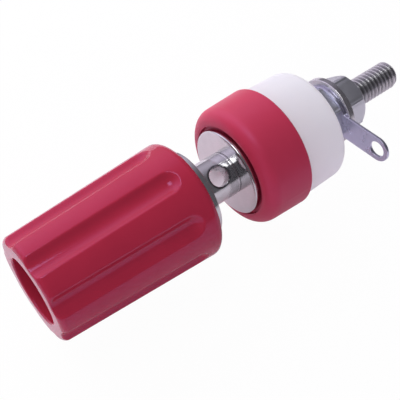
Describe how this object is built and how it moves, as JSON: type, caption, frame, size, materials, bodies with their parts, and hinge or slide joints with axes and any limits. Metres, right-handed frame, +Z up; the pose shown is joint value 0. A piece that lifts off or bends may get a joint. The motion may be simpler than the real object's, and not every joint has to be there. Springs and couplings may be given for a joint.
{
  "type": "binding post",
  "caption": "Panel binding post with fluted plastic screw knob, cross-drilled plug socket, insulating collars, and nuts, washer and solder lug on a threaded tail.",
  "frame": {"origin": "on the post's axis, in the plane of the front insulator's back face, where the front of the panel lies", "axes": "+Y along the post from the knob to the threaded tail, +Z up"},
  "size_m": [0.0201, 0.0594, 0.017],
  "materials": {
    "knob_plastic": "glossy moulded crimson",
    "collar_plastic": "satin moulded crimson",
    "white_plastic": "satin moulded white",
    "plated_metal": "bright nickel plate",
    "fastener_metal": "nickel plate",
    "lug_metal": "tinned sheet"
  },
  "bodies": {
    "post": {"terminal_post": "plated_metal", "front_insulator": "collar_plastic"},
    "insert": {"knob_insert": "plated_metal"},
    "knob": {"knob": "knob_plastic"},
    "clamp": {"rear_insulator": "white_plastic", "washer": "fastener_metal"},
    "panel_nut": {"panel_nut": "fastener_metal"},
    "lug": {"solder_lug": "lug_metal"},
    "rear_nut": {"rear_nut": "fastener_metal"}
  },
  "joints": [
    {"name": "knob_travel", "type": "slide", "parent": "post", "child": "insert", "axis": [0, 1, 0], "range_m": [-0.01425, 0.00535]},
    {"name": "knob_turn", "type": "hinge", "parent": "insert", "child": "knob", "pos_m": [0, -0.0139, 0], "axis": [0, 1, 0], "range_deg": [-6841, 2569]},
    {"name": "clamp_travel", "type": "slide", "parent": "post", "child": "clamp", "axis": [0, 1, 0], "range_m": [0, 0.00785]},
    {"name": "panel_nut_turn", "type": "hinge", "parent": "clamp", "child": "panel_nut", "pos_m": [0, 0.00685, 0], "axis": [0, 1, 0], "range_deg": [0, 4038]},
    {"name": "rear_nut_turn", "type": "hinge", "parent": "clamp", "child": "rear_nut", "pos_m": [0, 0.01165, 0], "axis": [0, 1, 0], "range_deg": [0, 4038]},
    {"name": "lug_turn", "type": "hinge", "parent": "clamp", "child": "lug", "pos_m": [0, 0.01035, 0], "axis": [0, 1, 0], "continuous": true}
  ],
  "couplings": [
    {"joint": "knob_turn", "follows": "knob_travel", "rad_per_m": 8377.6},
    {"joint": "panel_nut_turn", "follows": "clamp_travel", "rad_per_m": 8976},
    {"joint": "rear_nut_turn", "follows": "clamp_travel", "rad_per_m": 8976}
  ]
}
